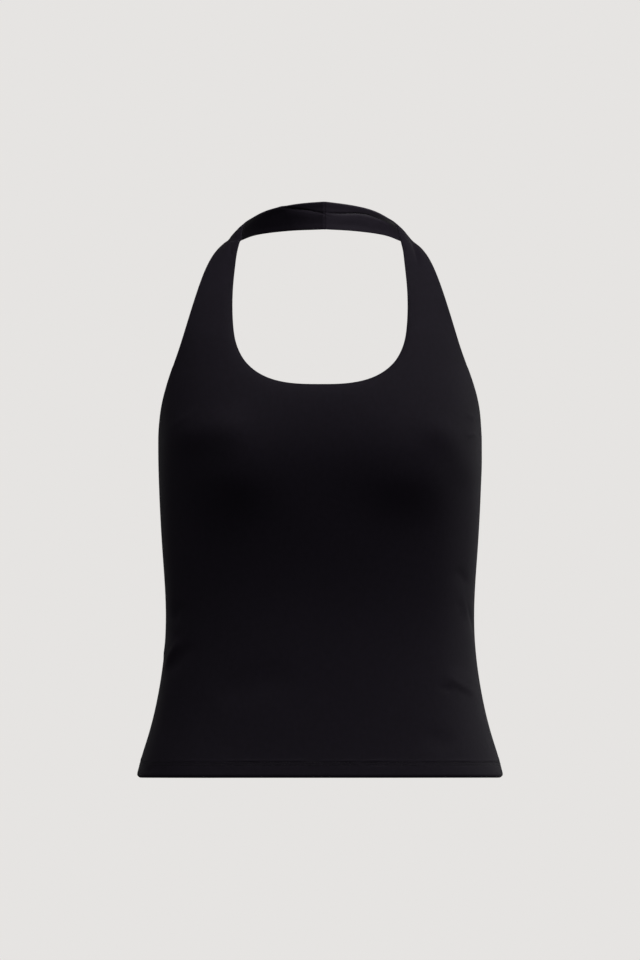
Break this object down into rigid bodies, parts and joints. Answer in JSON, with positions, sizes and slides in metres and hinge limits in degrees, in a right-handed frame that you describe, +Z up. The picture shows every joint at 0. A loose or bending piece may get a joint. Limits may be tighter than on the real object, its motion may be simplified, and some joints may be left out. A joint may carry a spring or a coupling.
{
  "type": "halter neck top",
  "caption": "Fitted black jersey halter top: deep scooped neckline, two wide straps that meet at the nape, a low back, a nipped waist and a turned-up hem.",
  "frame": {"origin": "the middle of the neck band's inner face at the centre back, where the nape or a hanger holds the top", "axes": "+Z up along the body, the front faces -Y, X across from side seam to side seam"},
  "size_m": [0.3482, 0.24, 0.5488],
  "materials": {
    "front_panel": "black stretch jersey, smooth and dull with a soft sheen",
    "back_panel": "black stretch jersey, smooth and dull with a soft sheen"
  },
  "bodies": {
    "root": {"front_panel": "front_panel", "back_panel": "back_panel"}
  },
  "joints": []
}
